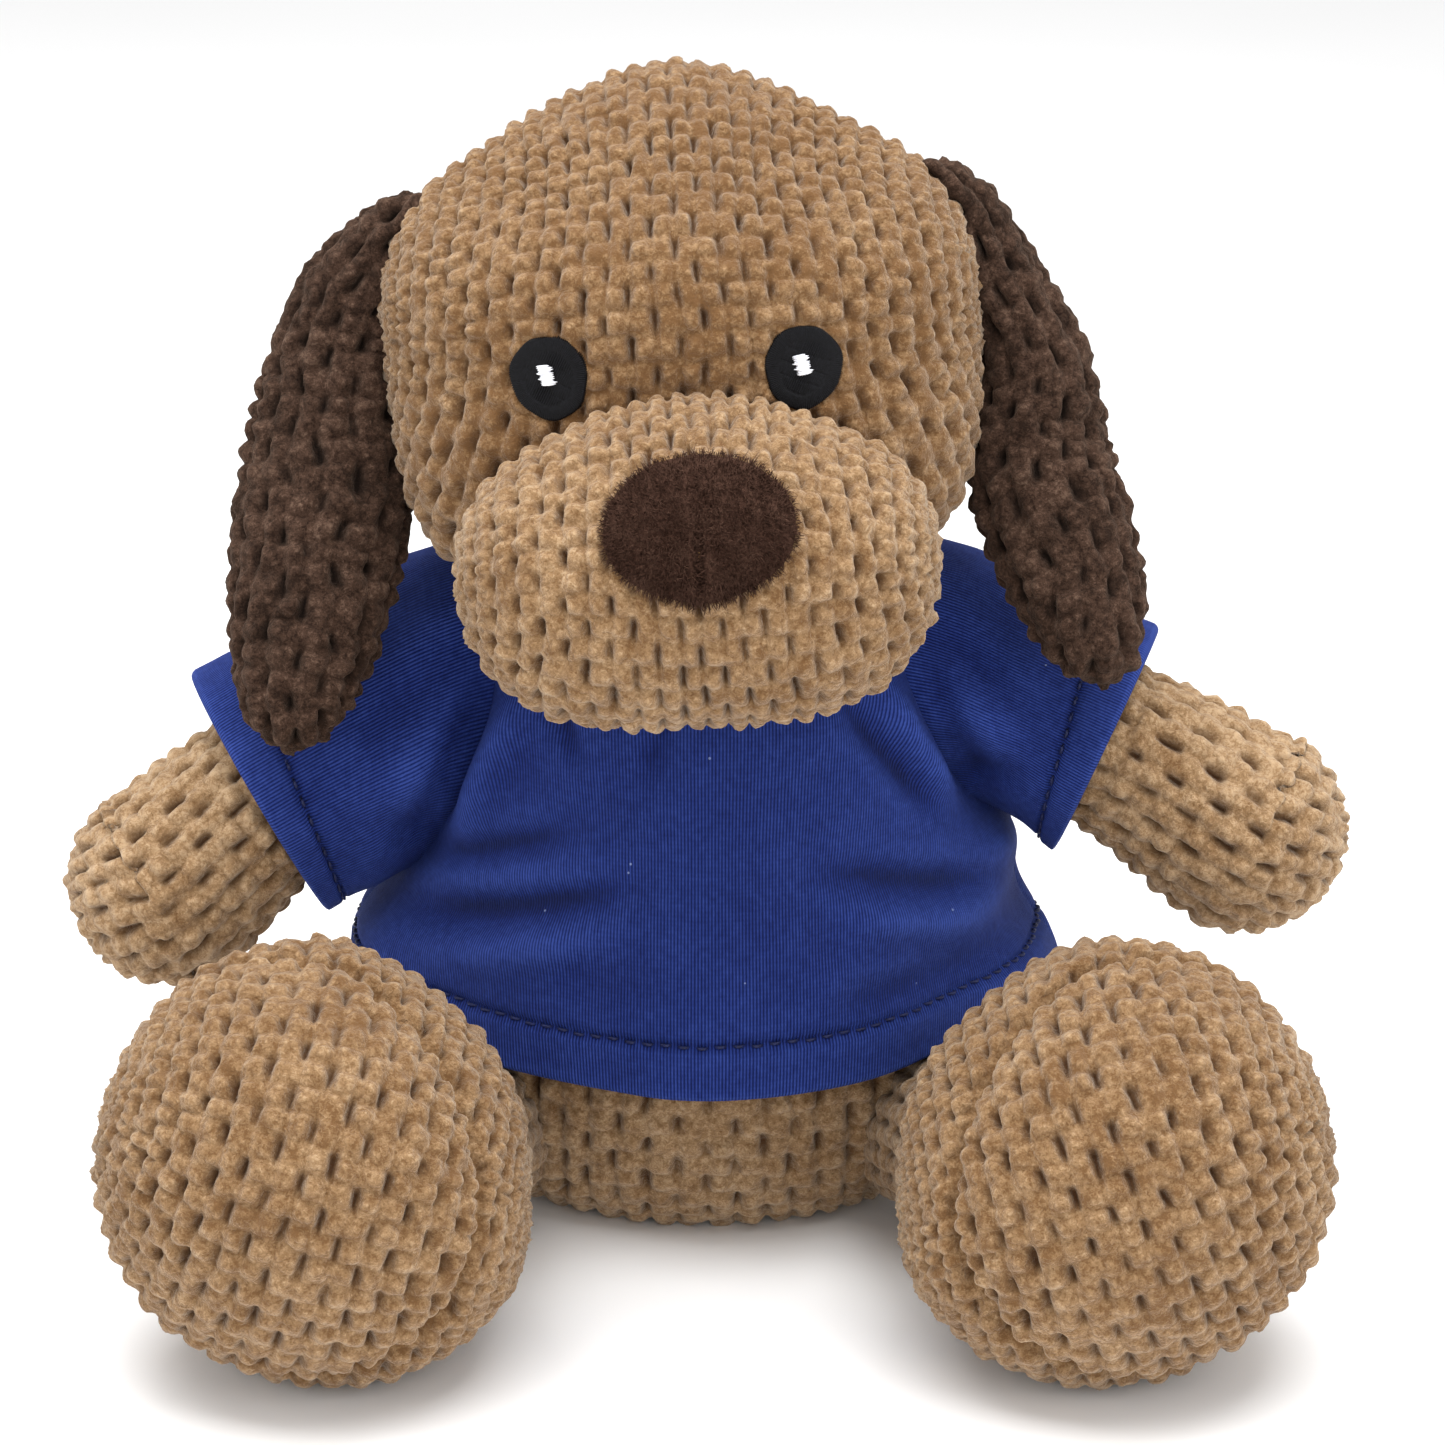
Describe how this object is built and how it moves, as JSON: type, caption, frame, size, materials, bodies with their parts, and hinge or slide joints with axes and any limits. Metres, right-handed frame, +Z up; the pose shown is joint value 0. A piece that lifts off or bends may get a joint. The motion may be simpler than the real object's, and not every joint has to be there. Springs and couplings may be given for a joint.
{
  "type": "plush dog",
  "caption": "Sitting plush dog with floppy ears, a sewn muzzle and a short-sleeved shirt; head, ears, arms, legs and tail move.",
  "frame": {"origin": "middle of the flat seat panel that the toy sits on", "axes": "+Z up; the dog looks along -Y; its own left side is +X"},
  "size_m": [0.2135, 0.1865, 0.201],
  "materials": {
    "tan_plush": "knobbly chenille plush, matt, soft pile",
    "ear_plush": "dark brown chenille plush, matt",
    "nose_plush": "short-pile brown velour",
    "shirt_jersey": "fine blue cotton jersey",
    "black_thread": "satin-stitched embroidery thread",
    "white_thread": "satin-stitched embroidery thread",
    "navy_thread": "twisted sewing thread",
    "stuffing": "polyester fibre",
    "pouch_cloth": "plain woven lining",
    "pellets": "moulded plastic pellets",
    "label_ribbon": "blank satin ribbon"
  },
  "bodies": {
    "torso": {"body_shell": "tan_plush", "seat_panel": "tan_plush", "body_filling": "stuffing", "pellet_pouch": "pouch_cloth", "weight_pellets": "pellets", "care_label": "label_ribbon", "shirt_front": "shirt_jersey", "shirt_back": "shirt_jersey", "shirt_collar": "shirt_jersey", "hem_thread": "navy_thread"},
    "neck": {"neck_skin": "tan_plush", "neck_filling": "stuffing"},
    "head": {"head_shell": "tan_plush", "head_filling": "stuffing", "muzzle_shell": "tan_plush", "muzzle_filling": "stuffing", "nose_patch": "nose_plush", "left_eye_embroidery": "black_thread", "right_eye_embroidery": "black_thread", "left_eye_glint": "white_thread", "right_eye_glint": "white_thread"},
    "left_ear": {"left_ear_shell": "ear_plush", "left_ear_filling": "stuffing"},
    "right_ear": {"right_ear_shell": "ear_plush", "right_ear_filling": "stuffing"},
    "left_arm": {"left_arm_shell": "tan_plush", "left_arm_filling": "stuffing", "left_sleeve": "shirt_jersey", "left_sleeve_thread": "navy_thread"},
    "right_arm": {"right_arm_shell": "tan_plush", "right_arm_filling": "stuffing", "right_sleeve": "shirt_jersey", "right_sleeve_thread": "navy_thread"},
    "left_leg": {"left_leg_shell": "tan_plush", "left_foot_sole": "tan_plush", "left_leg_filling": "stuffing"},
    "right_leg": {"right_leg_shell": "tan_plush", "right_foot_sole": "tan_plush", "right_leg_filling": "stuffing"},
    "tail": {"tail_shell": "tan_plush", "tail_filling": "stuffing"}
  },
  "joints": [
    {"name": "head_turn", "type": "hinge", "parent": "torso", "child": "neck", "pos_m": [0, 0.002, 0.115], "axis": [0, 0, 1], "range_deg": [-4, 8], "stiffness_Nm_per_rad": 0.5},
    {"name": "head_nod", "type": "hinge", "parent": "neck", "child": "head", "pos_m": [0, 0.002, 0.115], "axis": [1, 0, 0], "range_deg": [-10, 4], "stiffness_Nm_per_rad": 1.2, "springref_deg": -1.43},
    {"name": "left_ear_lift", "type": "hinge", "parent": "head", "child": "left_ear", "pos_m": [0.0495, -0.006, 0.1805], "axis": [0, -1, 0], "range_deg": [0, 80]},
    {"name": "left_arm_swing", "type": "hinge", "parent": "torso", "child": "left_arm", "pos_m": [0.045, 0.001, 0.091], "axis": [0, 0, -1], "range_deg": [-30, 10], "stiffness_Nm_per_rad": 0.1},
    {"name": "left_leg_splay", "type": "hinge", "parent": "torso", "child": "left_leg", "pos_m": [0.0395, -0.022, 0.016], "axis": [0, 0, 1], "range_deg": [-6, 12], "stiffness_Nm_per_rad": 0.5},
    {"name": "right_ear_lift", "type": "hinge", "parent": "head", "child": "right_ear", "pos_m": [-0.0558, -0.006, 0.174], "axis": [0, 1, 0], "range_deg": [0, 80]},
    {"name": "right_arm_swing", "type": "hinge", "parent": "torso", "child": "right_arm", "pos_m": [-0.045, 0.001, 0.091], "axis": [0, 0, 1], "range_deg": [-30, 10], "stiffness_Nm_per_rad": 0.1},
    {"name": "right_leg_splay", "type": "hinge", "parent": "torso", "child": "right_leg", "pos_m": [-0.0395, -0.022, 0.016], "axis": [0, 0, -1], "range_deg": [-6, 12], "stiffness_Nm_per_rad": 0.5},
    {"name": "tail_wag", "type": "hinge", "parent": "torso", "child": "tail", "pos_m": [0, 0.0482, 0.014], "axis": [0, 0, 1], "range_deg": [-25, 25], "stiffness_Nm_per_rad": 0.02}
  ]
}
